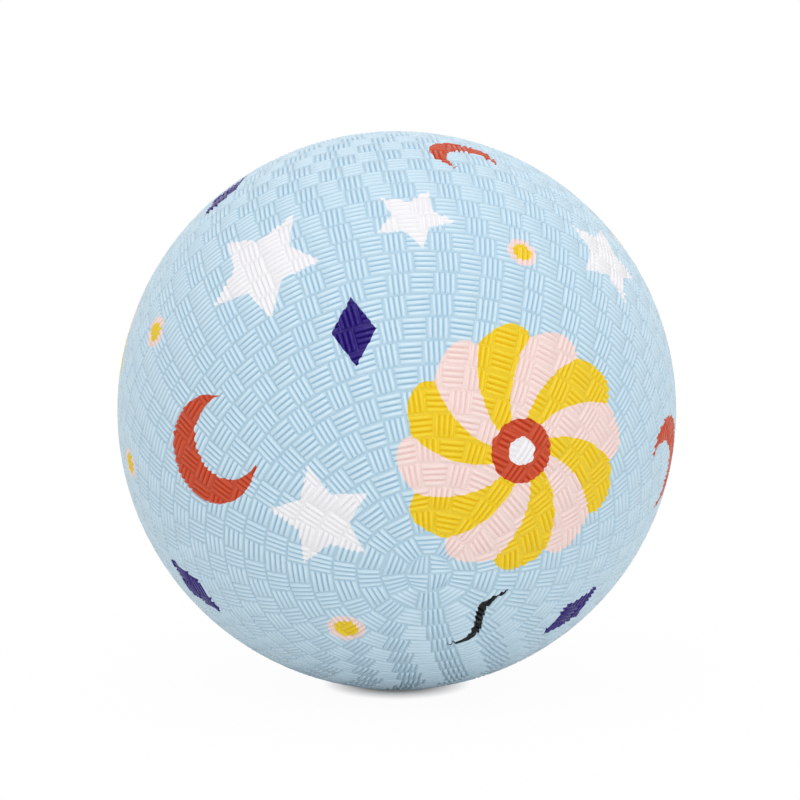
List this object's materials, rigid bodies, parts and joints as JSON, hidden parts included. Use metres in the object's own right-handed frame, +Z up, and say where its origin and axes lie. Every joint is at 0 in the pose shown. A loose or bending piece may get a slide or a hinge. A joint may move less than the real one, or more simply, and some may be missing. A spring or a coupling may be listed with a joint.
{
  "type": "rubber playground ball",
  "caption": "Inflated rubber playground ball with a basket-weave grip, an inner bladder and a needle valve with a pull-out plug.",
  "frame": {"origin": "centre of the ball", "axes": "+Z up as the ball lies, -Z to the point that it rests on, -Y to the viewer; the valve axis lies in the YZ plane and leaves the back of the ball 25 degrees above level"},
  "size_m": [0.1798, 0.1799, 0.1799],
  "materials": {
    "cover_rubber": "satin vulcanised rubber, moulded weave, printed",
    "bladder_butyl": "smooth dark butyl",
    "boot_rubber": "matt moulded rubber",
    "plug_rubber": "satin soft rubber"
  },
  "bodies": {
    "ball": {"cover": "cover_rubber", "bladder": "bladder_butyl", "valve_boot": "boot_rubber"},
    "plug": {"valve_plug": "plug_rubber"}
  },
  "joints": [
    {"name": "valve_plug_pull", "type": "slide", "parent": "ball", "child": "plug", "axis": [0, 0.9063, 0.4226], "range_m": [0, 0.02]}
  ]
}
